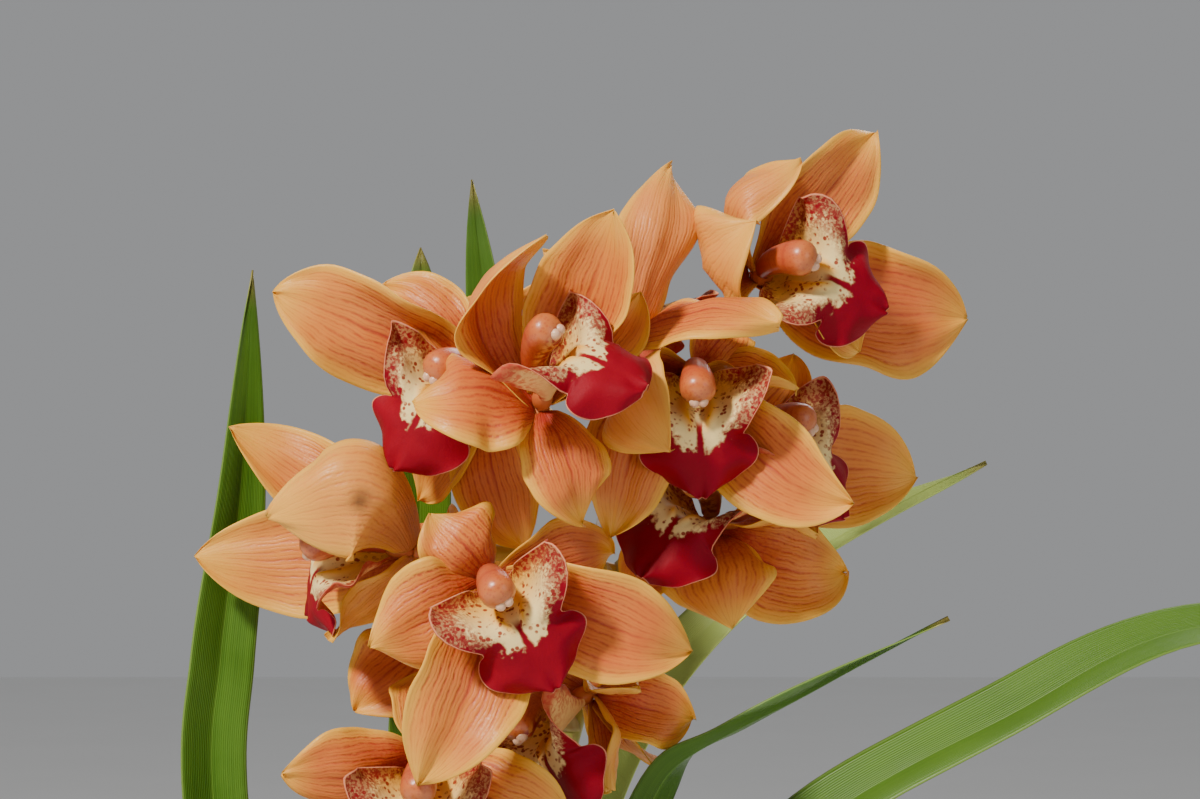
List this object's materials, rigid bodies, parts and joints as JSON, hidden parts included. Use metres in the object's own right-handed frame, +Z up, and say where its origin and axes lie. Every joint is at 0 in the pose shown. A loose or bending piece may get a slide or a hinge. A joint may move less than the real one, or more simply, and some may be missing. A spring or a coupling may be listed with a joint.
{
  "type": "potted orchid",
  "caption": "Potted boat orchid: an arching, staked spike of large open flowers with dark lips above strap leaves, in a round pot of bark.",
  "frame": {"origin": "centre of the pot's underside, on the surface that it stands on", "axes": "+Z up; the flowers face -Y; +X is to the right when the flowers are seen from the front"},
  "size_m": [0.5506, 0.4151, 0.5828],
  "materials": {
    "tepal": "waxy living petal, soft sheen",
    "lip": "waxy living petal, soft sheen",
    "column": "waxy living tissue",
    "leaf": "smooth living leaf, satin",
    "stem": "smooth living stem, satin",
    "stake": "matt coated stake",
    "clip": "moulded clip",
    "bulb": "dry living stem base, satin",
    "bark": "rough damp bark",
    "pot": "moulded nursery pot"
  },
  "bodies": {
    "root": {"top_flower_tepals": "tepal", "top_flower_lip": "lip", "top_flower_column": "column", "crown_flower_tepals": "tepal", "crown_flower_lip": "lip", "crown_flower_column": "column", "upper_right_flower_tepals": "tepal", "upper_right_flower_lip": "lip", "upper_right_flower_column": "column", "centre_flower_tepals": "tepal", "centre_flower_lip": "lip", "centre_flower_column": "column", "right_flower_tepals": "tepal", "right_flower_lip": "lip", "right_flower_column": "column", "lower_right_flower_tepals": "tepal", "lower_right_flower_lip": "lip", "lower_right_flower_column": "column", "upper_left_flower_tepals": "tepal", "upper_left_flower_lip": "lip", "upper_left_flower_column": "column", "left_flower_tepals": "tepal", "left_flower_lip": "lip", "left_flower_column": "column", "lower_flower_tepals": "tepal", "lower_flower_lip": "lip", "lower_flower_column": "column", "bottom_left_flower_tepals": "tepal", "bottom_left_flower_lip": "lip", "bottom_left_flower_column": "column", "lower_back_flower_tepals": "tepal", "lower_back_flower_lip": "lip", "lower_back_flower_column": "column", "left_back_flower_tepals": "tepal", "left_back_flower_lip": "lip", "left_back_flower_column": "column", "leaf_left_front": "leaf", "leaf_left_upright": "leaf", "leaf_centre_upright": "leaf", "leaf_right_behind": "leaf", "leaf_right_thin": "leaf", "leaf_right_broad": "leaf", "leaf_left_low": "leaf", "leaf_back_low": "leaf", "leaf_front_low": "leaf", "bulb_left": "bulb", "bulb_centre": "bulb", "bulb_right": "bulb", "bulb_front": "bulb", "flower_spike": "stem", "support_stake": "stake", "stake_clip_upper": "clip", "stake_clip_lower": "clip", "pot": "pot", "bark_mix": "bark"}
  },
  "joints": []
}
